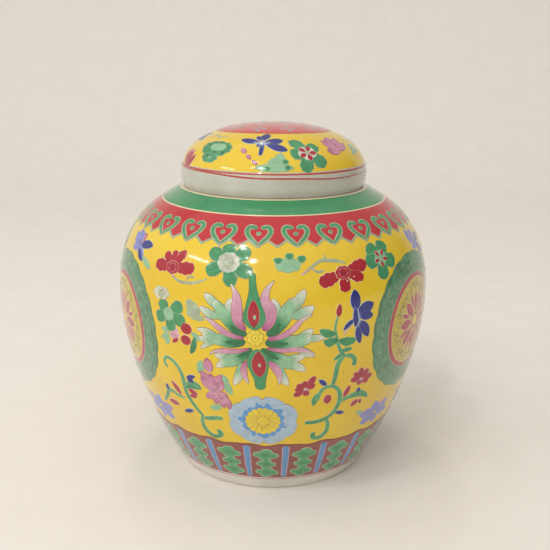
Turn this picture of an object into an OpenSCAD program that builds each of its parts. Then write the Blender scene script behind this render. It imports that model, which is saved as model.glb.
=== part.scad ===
// Ginger jar: a round-bellied porcelain jar and the domed cap that lifts off its neck.
// +Z is up, and the origin is on the axis, in the plane that the foot ring stands on.
// Each piece is one outline turned about the axis. An outline holds [radius, height] points.

/* [Body] */
// Diameter of the belly at its widest
belly_d = 190; // [158:1:228]
// Height of the widest part of the belly
belly_z = 111.4; // [92.8:0.1:133.7]
// Height of the flat seat that carries the lid
seat_z = 174.2; // [145:0.1:209]
// Thickness of the body's wall, square to its outer face
wall = 4.5; // [3:0.1:6]
// Thickness of the body's floor
floor_t = 5; // [4:0.1:8]

/* [Foot] */
// Diameter of the body where its wall leaves the foot ring
foot_d = 117; // [97:1:141]
// Width of the foot ring, out to the body's wall
foot_w = 6; // [5:0.1:8]
// Depth of the recess inside the foot ring
foot_recess = 5; // [3:0.1:8]
// Radius of the foot ring's edges
foot_edge = 0.8; // [0.4:0.1:1.2]

/* [Body curve] */
// Angle between the wall and upright where it leaves the foot ring's edge
foot_flare = 40; // [20:1:50]
// Angle between the shoulder and level where it meets the seat
shoulder_slope = 28.6; // [10:0.1:40]
// How far the foot's angle carries up, as a part of the height below the belly
foot_pull = 0.095; // [0.05:0.005:0.4]
// How far the upright belly carries down, as a part of the height below the belly
belly_pull_low = 0.427; // [0.2:0.001:0.6]
// How far the upright belly carries up, as a part of the height above the belly
belly_pull_high = 0.683; // [0.4:0.001:0.8]
// How far the shoulder's angle carries out, as a part of the radius beyond the seat
shoulder_pull = 0.512; // [0.3:0.001:0.7]

/* [Seat and neck] */
// How far the flat seat reaches out past the lid's rim
seat_lip = 1.6; // [1:0.1:4]
// Height of the neck above the seat
neck_h = 13.5; // [8:0.1:16]
// Thickness of the neck's wall
neck_wall = 4; // [3:0.1:6]
// Clearance between the neck and the lid's rim, on the radius
neck_gap = 1.2; // [0.4:0.1:3]
// Clearance above the neck before the lid's inside turns in
neck_headroom = 2; // [1:0.1:4]

/* [Lid] */
// Diameter of the lid at its widest
lid_d = 113; // [94:0.5:135]
// Height of the lid from the seat to its crown
lid_h = 37.1; // [31:0.1:45]
// Height of the lid's widest part above the seat
lid_wide_z = 7.1; // [6:0.1:8.5]
// How far the rim draws in below the lid's widest part, on the radius
lid_tuck = 1.9; // [1:0.1:3]
// Width of the rim that rests on the seat
rim_w = 5; // [4:0.1:7]
// Thickness of the lid at its crown
lid_wall = 4; // [3:0.1:6]
// Radius of the rim's edges
rim_edge = 1; // [0.4:0.1:1.5]

/* [Lid curve] */
// Angle between the lid's flank and upright where it leaves the rim's edge
rim_flare = 45; // [20:1:60]
// How far the upright side carries up, as a part of the dome's height
dome_side = 0.673; // [0.5:0.001:0.8]
// How far the level crown carries out, as a part of the dome's radius
dome_crown = 0.604; // [0.4:0.001:0.8]
// How far the lid's upright inside carries up, as a part of its dome's height
inside_side = 0.5; // [0.4:0.01:0.6]

/* [Hidden] */

belly_r = belly_d / 2;
foot_r = foot_d / 2;
foot_inner_r = foot_r - foot_w;
floor_z = foot_recess + floor_t;

lid_r = lid_d / 2;
rim_r = lid_r - lid_tuck;
rim_inner_r = rim_r - rim_w;
dome_h = lid_h - lid_wide_z;

// The neck passes into the lid's rim, and the seat reaches out under it.
neck_r = rim_inner_r - neck_gap;
mouth_r = neck_r - neck_wall;
seat_r = rim_r + seat_lip;
lip_round = neck_wall / 2;

curve_steps = 24; // spans in each curve of an outline
edge_steps = 5; // spans in each rounded edge
overlap = 1; // how far the wall's inner curve is followed past the mouth and the floor

// A point on the cubic curve that leaves a towards b and reaches d from c
function bezier(a, b, c, d, t) =
    pow(1 - t, 3) * a + 3 * pow(1 - t, 2) * t * b + 3 * (1 - t) * t * t * c + pow(t, 3) * d;

// The whole of that curve, as points
function curve(a, b, c, d) = [for (i = [0 : curve_steps]) bezier(a, b, c, d, i / curve_steps)];

// An arc about a centre, from one angle to another
function arc(centre, r, from, to) = [
    for (i = [0 : edge_steps])
        let (turn = from + (to - from) * i / edge_steps)
        centre + r * [cos(turn), sin(turn)]
];

// The direction of a line of points at its point i
function heading(line, i) =
    let (step = line[min(i + 1, len(line) - 1)] - line[max(i - 1, 0)])
    step / norm(step);

// A line of points moved to its left by w, square to itself
function moved_left(line, w) = [
    for (i = [0 : len(line) - 1])
        let (way = heading(line, i))
        line[i] + w * [-way.y, way.x]
];

function reversed(line) = [for (i = [len(line) - 1 : -1 : 0]) line[i]];

// The body's outer face, from the foot up to the seat
foot_round = arc([foot_r - foot_edge, foot_edge], foot_edge, 270, 360 - foot_flare);
foot_point = foot_round[edge_steps];
belly_point = [belly_r, belly_z];
seat_point = [seat_r, seat_z];
low_h = belly_z - foot_edge;
high_h = seat_z - belly_z;
lower_wall = curve(
    foot_point,
    foot_point + foot_pull * low_h * [sin(foot_flare), cos(foot_flare)],
    belly_point - [0, belly_pull_low * low_h],
    belly_point
);
upper_wall = curve(
    belly_point,
    belly_point + [0, belly_pull_high * high_h],
    seat_point + shoulder_pull * (belly_r - seat_r) * [cos(shoulder_slope), -sin(shoulder_slope)],
    seat_point
);
outer_wall = concat(lower_wall, [for (i = [1 : curve_steps]) upper_wall[i]]);

// The hollow's face is the outer face moved in by the wall, between the floor and the mouth.
inner_wall = [for (p = moved_left(outer_wall, wall)) if (p.y > floor_z + overlap && p.x > mouth_r + overlap) p];
inner_foot = inner_wall[0];
inner_top = inner_wall[len(inner_wall) - 1];

module body_outline() {
    polygon(concat(
        [[0, foot_recess]],
        arc([foot_inner_r - foot_edge, foot_recess - foot_edge], foot_edge, 90, 0),
        arc([foot_inner_r + foot_edge, foot_edge], foot_edge, 180, 270),
        foot_round,
        outer_wall,
        [[neck_r, seat_z]],
        arc([neck_r - lip_round, seat_z + neck_h - lip_round], lip_round, 0, 180),
        [[mouth_r, inner_top.y]],
        reversed(inner_wall),
        [[inner_foot.x - floor_t, floor_z], [0, floor_z]]
    ));
}

// Heights here are above the seat.
module lid_outline() {
    rim_round = arc([rim_r - rim_edge, rim_edge], rim_edge, 270, 360 - rim_flare);
    rim_point = rim_round[edge_steps];
    wide_point = [lid_r, lid_wide_z];
    flank = curve(
        rim_point,
        rim_point + lid_tuck * [sin(rim_flare), cos(rim_flare)],
        wide_point - [0, lid_wide_z / 2],
        wide_point
    );
    dome = curve(wide_point, wide_point + [0, dome_side * dome_h], [dome_crown * lid_r, lid_h], [0, lid_h]);
    inside_h = lid_h - lid_wall;
    turn_in_z = neck_h + neck_headroom;
    inside = curve(
        [0, inside_h],
        [dome_crown * rim_inner_r, inside_h],
        [rim_inner_r, turn_in_z + inside_side * (inside_h - turn_in_z)],
        [rim_inner_r, turn_in_z]
    );
    polygon(concat(
        arc([rim_inner_r + rim_edge, rim_edge], rim_edge, 180, 270),
        rim_round,
        flank,
        dome,
        inside
    ));
}

module jar_body() {
    color("gold")
    rotate_extrude($fn = 96)
    body_outline();
}

module lid() {
    color("khaki")
    translate([0, 0, seat_z])
    rotate_extrude($fn = 96)
    lid_outline();
}

jar_body();
lid();
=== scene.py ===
import math

import bpy
import numpy as np
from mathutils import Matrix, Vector


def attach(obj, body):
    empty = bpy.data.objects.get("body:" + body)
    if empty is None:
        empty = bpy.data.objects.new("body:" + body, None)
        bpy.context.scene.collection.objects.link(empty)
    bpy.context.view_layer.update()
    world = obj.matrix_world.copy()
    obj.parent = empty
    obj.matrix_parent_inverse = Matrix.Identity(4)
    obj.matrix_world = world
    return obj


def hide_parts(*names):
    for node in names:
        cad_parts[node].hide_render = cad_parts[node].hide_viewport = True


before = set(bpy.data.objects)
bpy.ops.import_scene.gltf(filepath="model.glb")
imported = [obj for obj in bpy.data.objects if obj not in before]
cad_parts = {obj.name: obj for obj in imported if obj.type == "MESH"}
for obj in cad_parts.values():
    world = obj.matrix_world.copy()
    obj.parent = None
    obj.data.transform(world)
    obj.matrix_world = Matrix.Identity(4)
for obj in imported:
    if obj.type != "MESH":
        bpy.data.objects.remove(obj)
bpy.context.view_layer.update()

bl_info = {
    "name": "Ginger Jar Enamels",
    "version": (1, 0, 0),
    "blender": (4, 5, 0),
    "location": "3D View > Sidebar > Ginger Jar",
    "description": "Porcelain, enamel painting and studio for a lidded ginger jar",
    "category": "Add Mesh",
}

MM = 0.001
TURN = 2 * math.pi
SMOOTH_TURN = math.radians(25)  # a sharper bend than this in an outline is a corner
GLAZE_STEP = 1.5  # mm between the rows of the turned porcelain
COLUMNS = 256  # round the turned porcelain
SUNK = 0.06  # mm that an enamel's edge lies under the glaze
LID_LINES = 15.0  # mm along the lid's face from its lower edge to the top of its two lines
LOW_FADE = 6.0  # mm over which the glaze comes out to the CAD size at a face's low end
HIGH_FADE = 3.0  # the same at its high end
YELLOW_RISE = 7  # mm from the foot band's lower edge to where the yellow ground starts under it
SIDE_PANELS = ((118.4, 0.9), (234.1, 0.9))  # each rear panel's middle, and its width as a part of the front's

LENS = 54.66  # mm, on a 36 mm sensor
CAMERA_PLACE = (0.00123, -0.5067, 0.2551)
CAMERA_DIP = 15.34  # degrees down from level
CAMERA_ROLL = 0.35  # degrees
LAMP_AIM = (0, 0, 0.14)
LAMP_AWAY = 1.6  # m from where the lamps aim

# Each paint's name, its colour and what it is for
PALETTE = {
    "porcelain": ("E2DFD5", "White glaze of the foot, the lid's rim and the inside"),
    "porcelain_grey": ("C8C7BC", "Thinner white glaze"),
    "porcelain_warm": ("B3B09F", "Greyer glaze of the lid's rim"),
    "biscuit": ("D9CDBB", "Bare fired clay where the glaze is wiped off"),
    "biscuit_dark": ("C4B49C", "Darker bare clay"),
    "yellow": ("E5C526", "Yellow ground of the jar and the lid"),
    "deep_yellow": ("DEB81C", "Thicker yellow ground"),
    "band_green": ("2F8A55", "Green band round the shoulder"),
    "band_red": ("B91521", "Red band under the shoulder"),
    "cream": ("E9D6AE", "Cream lines"),
    "brick": ("8E4A42", "Brick-red ground of the foot band"),
    "brick_dark": ("7A3034", "Darker edge of the foot band"),
    "bar_blue": ("5E93C4", "Blue bars of the foot band"),
    "line_pink": ("C2707A", "Thin line over the foot"),
    "line_red": ("B4402C", "Thin iron-red lines round the lid"),
    "leaf": ("3F8F5C", "Middle green"),
    "leaf_dark": ("1C6B3C", "Dark green"),
    "leaf_pale": ("8DBB93", "Pale green"),
    # The white below also paints a painted highlight on the lotus's upper red heart.
    "white": ("D3D3C4", "White petal tips"),
    "grey_green": ("9DA987", "Thin grey-green sprays"),
    "red": ("A61023", "Red flowers"),
    "red_deep": ("7E0B1B", "Shaded red"),
    "pink": ("C47F9C", "Pink petals"),
    "pink_deep": ("A8447A", "Shaded pink"),
    "rose_edge": ("A23A66", "Edges of the rose's petals"),
    "pink_pale": ("D3A2B4", "Pale pink"),
    "navy": ("1A1D64", "Iris tips"),
    "blue": ("242B7E", "Iris blue"),
    "blue_pale": ("7F86C8", "Pale iris blue"),
    "sky": ("A9BFD2", "Light-blue petals"),
    "sky_deep": ("5C97CC", "Middle-blue accents"),
    "button": ("E6CB34", "Yellow flower centres"),
    "olive": ("8C7A2C", "Fine lines on yellow"),
    "gold": ("C6B03C", "Gold ground of the medallions"),
    "brown": ("7A4E3C", "Thin outlines"),
    "crown_red": ("C8323C", "Red ground of the lid's crown"),
    "crown_grey": ("6E8F94", "Grey-blue lines of the lid's crown"),
    "crown_pale": ("C9A9B4", "Pale rims on the lid's crown"),
    "purple": ("9A8FC6", "Pale purple petals"),
    "red_soft": ("A83A48", "Thinner red of the small blossoms"),
    "medallion_green": ("5C8F6A", "Mottled green of the medallions' rings"),
    "medallion_red": ("B03044", "Red of the medallions"),
    "fret_green": ("5FA870", "Lighter green of the frets and vines"),
    "fret_pale": ("A9B79A", "Pale edges of the foot band's frets"),
    "floor": ("ECE7E0", "Pale studio floor and wall"),
    "floor_warm": ("E8E3DB", "Warmer patches of the floor"),
}


def linear(code):
    """The linear colour of a six-figure screen colour: each part to the power of about 2.4 as screens use."""
    parts = np.array([int(code[i : i + 2], 16) / 255 for i in (0, 2, 4)])
    light = np.where(parts <= 0.04045, parts / 12.92, ((parts + 0.055) / 1.055) ** 2.4)
    return tuple(float(v) for v in light)


class JarColours(bpy.types.PropertyGroup):
    """The colours of the glaze and the enamels."""


for paint_name, (paint_code, paint_use) in PALETTE.items():
    JarColours.__annotations__[paint_name] = bpy.props.FloatVectorProperty(
        name=paint_name.replace("_", " ").capitalize(),
        description=paint_use,
        subtype="COLOR",
        size=3,
        min=0,
        max=1,
        default=linear(paint_code),
    )


def length_property(name, description, default):
    """A length in metres, given in millimetres."""
    return bpy.props.FloatProperty(
        name=name, description=description, default=default * MM, min=0, subtype="DISTANCE", unit="LENGTH"
    )


def angle_property(name, description, default):
    """An angle in radians, given in degrees round from the front, positive to the right."""
    return bpy.props.FloatProperty(
        name=name, description=description, default=math.radians(default), subtype="ANGLE", unit="ROTATION"
    )


class JarSizes(bpy.types.PropertyGroup):
    """The sizes and places of the painting."""

    relief: length_property("Relief", "How far the CAD size stands over the glaze, for the enamel", 0.35)
    enamel: length_property("Enamel", "Thickness of a patch of enamel", 0.13)
    bevel: length_property("Bevel", "Width of an enamel patch's rounded edge", 0.45)
    foot_band: length_property("Foot band", "Height of the foot band's lower edge", 8.4)
    foot_band_top: length_property("Foot band top", "Height of the foot band's upper edge", 37.0)
    red_band: length_property("Red band", "Height of the red band's lower edge", 156.6)
    green_band: length_property("Green band", "Height of the green band's lower edge", 167.6)
    bars: bpy.props.IntProperty(name="Bars", description="Blue bars round the foot band", default=21, min=3)
    hearts: bpy.props.IntProperty(name="Hearts", description="Hearts round the shoulder", default=25, min=3)
    medallion: length_property("Medallion", "Radius of a medallion's green ring", 41.2)
    lid_band: length_property("Lid line", "Distance from the lid's lower edge to its yellow ground", 14.4)
    crown: length_property("Crown", "Radius of the lid's red crown, along its face", 35.2)
    panel_front: angle_property("Front panel", "Place of the front panel's middle", -5.5)


# --- Turned surfaces -------------------------------------------------------------------------------------


def outline_of(node):
    """The line of radii and heights, in mm, that a turned CAD node was made from.
    Corners of the mesh with one radius and height are one ring; edges say which rings are next to each other,
    and the line is walked from its lowest loose end to the other."""
    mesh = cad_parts[node].data
    place = np.empty(len(mesh.vertices) * 3)
    mesh.vertices.foreach_get("co", place)
    place = place.reshape(-1, 3)
    turned = np.round(np.stack([np.hypot(place[:, 0], place[:, 1]), place[:, 2]], 1) / MM, 2)
    rings, ring = np.unique(turned, axis=0, return_inverse=True)
    ends = np.empty(len(mesh.edges) * 2, int)
    mesh.edges.foreach_get("vertices", ends)
    pairs = np.unique(np.sort(ring.reshape(-1)[ends.reshape(-1, 2)], axis=1), axis=0)
    beside = {i: [] for i in range(len(rings))}
    for a, b in pairs[pairs[:, 0] != pairs[:, 1]]:
        beside[a].append(b)
        beside[b].append(a)
    loose = sorted((i for i in beside if len(beside[i]) == 1), key=lambda i: rings[i][1])
    walk = [loose[0]]
    while True:
        onward = [i for i in beside[walk[-1]] if i not in walk[-2:]]
        if not onward:
            return rings[walk]
        walk.append(onward[0])


def flowing(points, step):
    """Points about a step apart on a smooth line through a few: each span is the cubic between two points
    whose slope at a point is that of the parabola through it and its neighbours."""
    points = np.asarray(points, float)
    if len(points) == 2:
        parts = max(1, math.ceil(np.linalg.norm(points[1] - points[0]) / step))
        return points[0] + np.linspace(0, 1, parts + 1)[:, None] * (points[1] - points[0])
    span = np.linalg.norm(np.diff(points, axis=0), axis=1)
    at = np.concatenate([[0], np.cumsum(span)])
    slope = np.gradient(points, at, axis=0, edge_order=2)
    counts = np.maximum(1, np.ceil(span / step)).astype(int)
    i = np.repeat(np.arange(len(span)), counts)
    t = np.concatenate([np.arange(n) / n for n in counts])[:, None]
    gap = span[i][:, None]
    line = (
        (2 * t**3 - 3 * t**2 + 1) * points[i]
        + (t**3 - 2 * t**2 + t) * gap * slope[i]
        + (3 * t**2 - 2 * t**3) * points[i + 1]
        + (t**3 - t**2) * gap * slope[i + 1]
    )
    return np.vstack([line, points[-1]])


def stretches(outline):
    """An outline cut at its corners, where it bends by more than a smooth turn, and where a long span meets
    a short one, as a flat meets a small arc."""
    span = np.diff(outline, axis=0)
    way = np.arctan2(span[:, 1], span[:, 0])
    bend = np.abs((np.diff(way) + math.pi) % TURN - math.pi)
    length = np.linalg.norm(span, axis=1)
    uneven = np.maximum(length[1:] / length[:-1], length[:-1] / length[1:]) > 4
    cuts = [0, *(np.nonzero((bend > SMOOTH_TURN) | uneven)[0] + 1), len(outline) - 1]
    return [outline[a : b + 1] for a, b in zip(cuts, cuts[1:])]


class Ground:
    """The outer face of a turned piece, unrolled: a place on it is an angle from the front, positive to the
    right, and a run, the distance along its outline from its low end. All lengths are in mm."""

    def __init__(self, line, depth, low_fade, high_fade):
        """line is moved in by a depth, which fades out over a distance at its low end and at its high end."""
        self.line = np.vstack([flowing(part, 0.5)[:-1] for part in stretches(line)] + [line[-1:]])
        self.run = np.concatenate([[0], np.cumsum(np.linalg.norm(np.diff(self.line, axis=0), axis=1))])
        rise = np.gradient(self.line, self.run, axis=0)
        self.out = np.stack([rise[:, 1], -rise[:, 0]], 1)
        left = self.run[-1] - self.run
        fade = np.clip(self.run / low_fade, 0, 1) * (np.clip(left / high_fade, 0, 1) if high_fade else 1)
        self.line = self.line - depth * fade[:, None] * self.out
        self.line[:, 0] = np.maximum(self.line[:, 0], 0)

    def radius(self, run):
        return np.maximum(np.interp(run, self.run, self.line[:, 0]), 1e-3)

    def run_at(self, height):
        return np.interp(height, self.line[:, 1], self.run)

    def place(self, angle, run, lift):
        """Points on the face at these angles and runs, lifted square to it."""
        out = [np.interp(run, self.run, self.out[:, k]) for k in (0, 1)]
        across, height = [np.interp(run, self.run, self.line[:, k]) + lift * out[k] for k in (0, 1)]
        return np.stack([across * np.sin(angle), -across * np.cos(angle), height], -1)

    def near(self, origin, flat, lift):
        """Points at flat distances right of and up from an origin on the face: the distance to the right
        is measured round the face at that height."""
        run = origin[1] + flat[..., 1]
        return self.place(origin[0] + flat[..., 0] / self.radius(run), run, lift)


class Crown(Ground):
    """The top of a domed piece, where flat distances are measured from the axis: a point's distance from the
    middle is its run down from the crown, and its direction is kept."""

    def near(self, origin, flat, lift):
        away = np.hypot(flat[..., 0], flat[..., 1])
        return self.place(np.arctan2(flat[..., 0], -flat[..., 1]), self.run[-1] - away, lift)


def turned_mesh(name, outline):
    """A closed surface whose rows are an outline's points turned about the axis, with a pole on the axis at
    each end. Returns the mesh and, for each face, the row of the outline below it."""
    angle = np.arange(COLUMNS) / COLUMNS * TURN
    rows = len(outline)
    around = np.stack([np.sin(angle), -np.cos(angle)], -1)
    height = np.broadcast_to(outline[:, None, 1:], (rows, COLUMNS, 1))
    sides = np.concatenate([outline[:, None, :1] * around[None], height], -1)
    poles = np.array([[0, 0, outline[0, 1]], [0, 0, outline[-1, 1]]])
    j = np.arange(COLUMNS)
    k = (j + 1) % COLUMNS
    i = np.arange(rows - 1)[:, None] * COLUMNS
    quads = np.stack([i + j, i + k, i + COLUMNS + k, i + COLUMNS + j], -1).reshape(-1, 4)
    last = (rows - 1) * COLUMNS
    low_cap = np.stack([k, j, np.full(COLUMNS, rows * COLUMNS)], -1)
    high_cap = np.stack([last + j, last + k, np.full(COLUMNS, rows * COLUMNS + 1)], -1)
    mesh = bpy.data.meshes.new(name)
    fill(mesh, np.concatenate([sides.reshape(-1, 3), poles]) * MM, [quads, low_cap, high_cap])
    face_row = np.concatenate([np.repeat(np.arange(rows - 1), COLUMNS), j * 0, j * 0 + rows - 2])
    return mesh, face_row


def fill(mesh, points, faces):
    """Puts points and lists of equal-sided faces into a mesh, shaded smooth."""
    corners = np.concatenate([f.reshape(-1) for f in faces])
    sizes = np.concatenate([np.full(len(f), f.shape[1]) for f in faces])
    mesh.vertices.add(len(points))
    mesh.vertices.foreach_set("co", np.asarray(points, np.float32).reshape(-1))
    mesh.loops.add(len(corners))
    mesh.loops.foreach_set("vertex_index", corners.astype(np.int32))
    mesh.polygons.add(len(sizes))
    starts = np.concatenate([[0], np.cumsum(sizes)[:-1]])
    mesh.polygons.foreach_set("loop_start", starts.astype(np.int32))
    mesh.polygons.foreach_set("use_smooth", np.ones(len(sizes), bool))
    mesh.update(calc_edges=True)


# --- Enamel shells ---------------------------------------------------------------------------------------


def bevel_steps(widest):
    """Distances in from a shell's border at which its rounded edge has points, closer on a narrow shell."""
    steps = np.array([0, 0.1, 0.25, 0.5]) if widest > 0.7 else np.array([0, 0.3, 0.7])
    return steps * min(1.0, widest)


class Brush:
    """Lays enamel on a ground. Each patch is a closed shell with its edge sunk in the glaze, and all patches
    of one paint make one piece. A place is an angle in degrees and a height (jar) or run (lid) in mm."""

    def __init__(self, name, ground, body, by_run=False):
        self.name, self.ground, self.body, self.by_run = name, ground, body, by_run
        self.shells = {}
        self.panel(0.0, 0.0)
        self.draw = np.random.default_rng(7)

    def panel(self, middle, shift, squeeze=1.0, rise=1.0):
        """Later places are angles about a middle, squeezed and moved to another side. On the lid, how far a
        run is over the lines is multiplied by rise."""
        self.middle, self.shift, self.squeeze, self.rise = middle, shift, squeeze, rise

    def spot(self, place):
        """A place's angle in radians and its run."""
        angle = self.shift + (place[0] - self.middle) * self.squeeze
        if self.by_run:
            run = LID_LINES + (place[1] - LID_LINES) * self.rise
        else:
            run = self.ground.run_at(place[1])
        return np.array([math.radians(angle), float(run)])

    def flat(self, origin, place):
        """A place's flat distances from an origin on the ground."""
        angle, run = self.spot(place)
        return np.array([(angle - origin[0]) * self.ground.radius(run), run - origin[1]])

    def shell(self, paint, origin, top, edge, along, across, level, form):
        """Adds a closed shell. top is a grid of flat points (or, with no origin, of angles and runs), and
        edge is how far each is from the shell's border. The top rises as a quarter circle over the bevel and
        then runs level; flat faces close the underside. form is "strip", "loop" (a strip whose ends meet)
        or "disc" (rows go round, columns go in)."""
        sizes = bpy.context.scene.jar_sizes
        part = np.clip(edge / min(sizes.bevel / MM, 0.8 * edge.max()), 0, 1)
        lift = np.where(edge > 1e-6, (sizes.enamel / MM + level) * np.sqrt(1 - (1 - part) ** 2), -SUNK)
        if origin is None:
            points = self.ground.place(top[..., 0], top[..., 1], lift).reshape(-1, 3)
        else:
            points = self.ground.near(origin, top, lift).reshape(-1, 3)
        index = np.arange(edge.size).reshape(edge.shape)
        near, far = index[0][None], index[-1][::-1][None]
        if form != "strip":
            index = np.vstack([index, index[:1]])
        a, b, c, d = index[:-1, :-1], index[1:, :-1], index[1:, 1:], index[:-1, 1:]
        faces = [np.stack([a, b, c, d], -1).reshape(-1, 4)]
        if form == "disc":
            faces += [index[:-1, -1][None], index[:0:-1, 0][None]]
        else:
            one, other = index[:, 0], index[:, -1]
            faces.append(np.stack([one[:-1], other[:-1], other[1:], one[1:]], -1))
        if form == "strip":
            faces += [near, far]
        tone = np.full(edge.size, self.draw.random())
        marks = np.stack([along.reshape(-1), across.reshape(-1), tone], -1)
        self.shells.setdefault(paint, []).append((points, faces, marks, edge.reshape(-1)))

    def band(self, paint, low, high, level=0.0, columns=360):
        """A band all the way round between two runs, each worked out from the angle."""
        angle = np.arange(columns) / columns * TURN
        low, high = low(angle), high(angle)
        half = (high - low)[:, None] / 2
        widest = half.max()
        bevel = bevel_steps(widest)[None] + 0 * half
        inward = np.linspace(0, 1, 2 + int(widest / 1.6))[None, 1:]
        near = np.concatenate([bevel, bevel[:, -1:] + (half - bevel[:, -1:]) * inward], 1)
        edge = np.concatenate([near, near[:, -2::-1]], 1)
        run = np.concatenate([low[:, None] + near, high[:, None] - near[:, -2::-1]], 1)
        top = np.stack([np.broadcast_to(angle[:, None], run.shape), run], -1)
        along = np.broadcast_to(angle[:, None] * 12, run.shape)
        across = (run - low[:, None]) / half - 1
        self.shell(paint, None, top, edge, along, across, level, "loop")

    def strip(self, paint, origin, line, half, level=0.0, form="strip"):
        """A shell carried along a flat line, half as wide each way as its half-widths say."""
        half = np.maximum(half, 0.02)
        if form == "loop":
            way = np.roll(line, -1, 0) - np.roll(line, 1, 0)
        else:
            way = np.gradient(line, axis=0)
        way = way / np.maximum(np.linalg.norm(way, axis=1), 1e-9)[:, None]
        side = np.stack([-way[:, 1], way[:, 0]], 1)
        widest = half.max()
        steps = bevel_steps(widest)
        bevel = steps[None] * np.minimum(1, half / min(widest, 1.0))[:, None]
        inward = np.linspace(0, 1, 2 + int(widest / 2.5))[None, 1:]
        near = np.concatenate([bevel, bevel[:, -1:] + (half[:, None] - bevel[:, -1:]) * inward], 1)
        edge = np.concatenate([near, near[:, -2::-1]], 1)
        across = np.concatenate([near - half[:, None], (half[:, None] - near)[:, -2::-1]], 1)
        top = line[:, None] + across[..., None] * side[:, None]
        along = np.broadcast_to(np.linspace(0, 1, len(line))[:, None], edge.shape)
        self.shell(paint, origin, top, edge, along, across / half[:, None], level, form)

    def petal(self, paint, base, tip, width, **looks):
        """A petal from a base to a tip, with the looks of flat_petal."""
        origin = self.spot(base)
        self.flat_petal(paint, origin, (0, 0), self.flat(origin, tip), width, **looks)

    def flat_petal(self, paint, origin, base, tip, width, level=0.0, bend=0.0, fat=1.0, blunt=0.6, wave=0.0):
        """A petal between two flat points near an origin. Its line is bowed to the left by half a sine, bend
        mm high; its half-width is a sine of its length to the power fat, to the power blunt, and wave makes
        its edges uneven."""
        base, reach = np.asarray(base, float), np.subtract(tip, base)
        length = np.hypot(*reach)
        t = (1 - np.cos(np.linspace(0, math.pi, max(9, int(length / 1.1) + 5)))) / 2
        side = np.array([-reach[1], reach[0]]) / length
        bow = bend * np.sin(math.pi * t)
        line = base + t[:, None] * reach + bow[:, None] * side
        half = width / 2 * np.maximum(np.sin(math.pi * t**fat), 0) ** blunt
        self.strip(paint, origin, line, half * (1 + wave * np.sin(t * length * 1.6)), level)

    def petals(self, paint, rows, **looks):
        """Petals in order, each a row of base, tip and width, then its own level and bend if it has them."""
        for base, tip, width, *own in rows:
            self.petal(paint, base, tip, width, **{**looks, **dict(zip(("level", "bend"), own))})

    def bloom(self, paint, middle, tips, width, climb, level=0.0, fat=1.7, blunt=0.36, wave=0.0):
        """A flower of petals from its middle to tips, each higher than the last by climb."""
        for k, tip in enumerate(tips):
            self.petal(paint, middle, tip, width, level=level + climb * k, fat=fat, blunt=blunt, wave=wave)

    def stroke(self, paint, places, widths, level=0.0):
        """A brush stroke through places, with a width at each or one width; its ends are rounded off."""
        origin = self.spot(places[0])
        self.flat_stroke(paint, origin, np.array([self.flat(origin, p) for p in places]), widths, level)

    def flat_stroke(self, paint, origin, flat, widths, level=0.0, step=0.9):
        """The same brush stroke through flat points near an origin."""
        widths = np.broadcast_to(np.asarray(widths, float), (len(flat),))
        line = flowing(np.column_stack([flat, widths / 2]), step)
        half = np.maximum(line[:, 2], 0.05)
        gone = np.concatenate([[0], np.cumsum(np.linalg.norm(np.diff(line[:, :2], axis=0), axis=1))])
        near_end = np.clip(np.minimum(gone, gone[-1] - gone) / half, 0, 1)
        self.strip(paint, origin, line[:, :2], half * np.sqrt(1 - (1 - near_end) ** 2), level)

    def ring(self, paint, place, inner, outer, level=0.0, lobes=0, notch=0.0):
        """A flat ring round a place, whose outer edge has lobes notch deep."""
        self.flat_ring(paint, self.spot(place), (0, 0), inner, outer, level, lobes, notch)

    def flat_ring(self, paint, origin, centre, inner, outer, level=0.0, lobes=0, notch=0.0):
        """The same ring about a flat point near an origin."""
        count = max(24, 10 * lobes, int(outer * 5))
        angle = np.arange(count) / count * TURN
        rim = np.full(count, float(outer))
        if lobes:
            rim = outer - notch * (1 - np.abs(np.sin(lobes * angle / 2)))
        middle = ((rim + inner) / 2)[:, None] * np.stack([-np.sin(angle), np.cos(angle)], 1)
        self.strip(paint, origin, np.asarray(centre, float) + middle, (rim - inner) / 2, level, "loop")

    def disc(self, paint, place, size, **looks):
        """A round patch about a place, with the looks of flat_disc."""
        self.flat_disc(paint, self.spot(place), (0, 0), size, **looks)

    def flat_disc(self, paint, origin, centre, size, lobes=0, notch=0.0, turn=0.0, level=0.0, round_lobe=0.6):
        """A round patch about a flat point near an origin. size is its radius, or its radii across and up;
        between its lobes the radius falls by a part notch, as a sine to the power round_lobe."""
        wide, tall = (size, size) if np.isscalar(size) else size
        count = max(16, 8 * lobes, int(max(wide, tall) * 4))
        angle = np.arange(count) / count * TURN
        wave = 1.0
        if lobes:
            swell = np.abs(np.sin(lobes * (angle + math.radians(turn)) / 2))
            wave = 1 - notch + notch * swell**round_lobe
        border = np.stack([-wide * np.sin(angle) * wave, tall * np.cos(angle) * wave], 1)
        reach = np.linalg.norm(border, axis=1)[:, None]
        bevel = bevel_steps(min(wide, tall))[None] + 0 * reach
        inward = np.linspace(0, 0.97, 2 + int(max(wide, tall) / 2.5))[None, 1:]
        edge = np.concatenate([bevel, bevel[:, -1:] + (reach - bevel[:, -1:]) * inward], 1)
        away = 1 - edge / reach
        top = np.asarray(centre, float) + away[..., None] * border[:, None]
        across = np.broadcast_to((angle / TURN * 2 - 1)[:, None], edge.shape)
        self.shell(paint, origin, top, edge, away, across, level, "disc")

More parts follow.
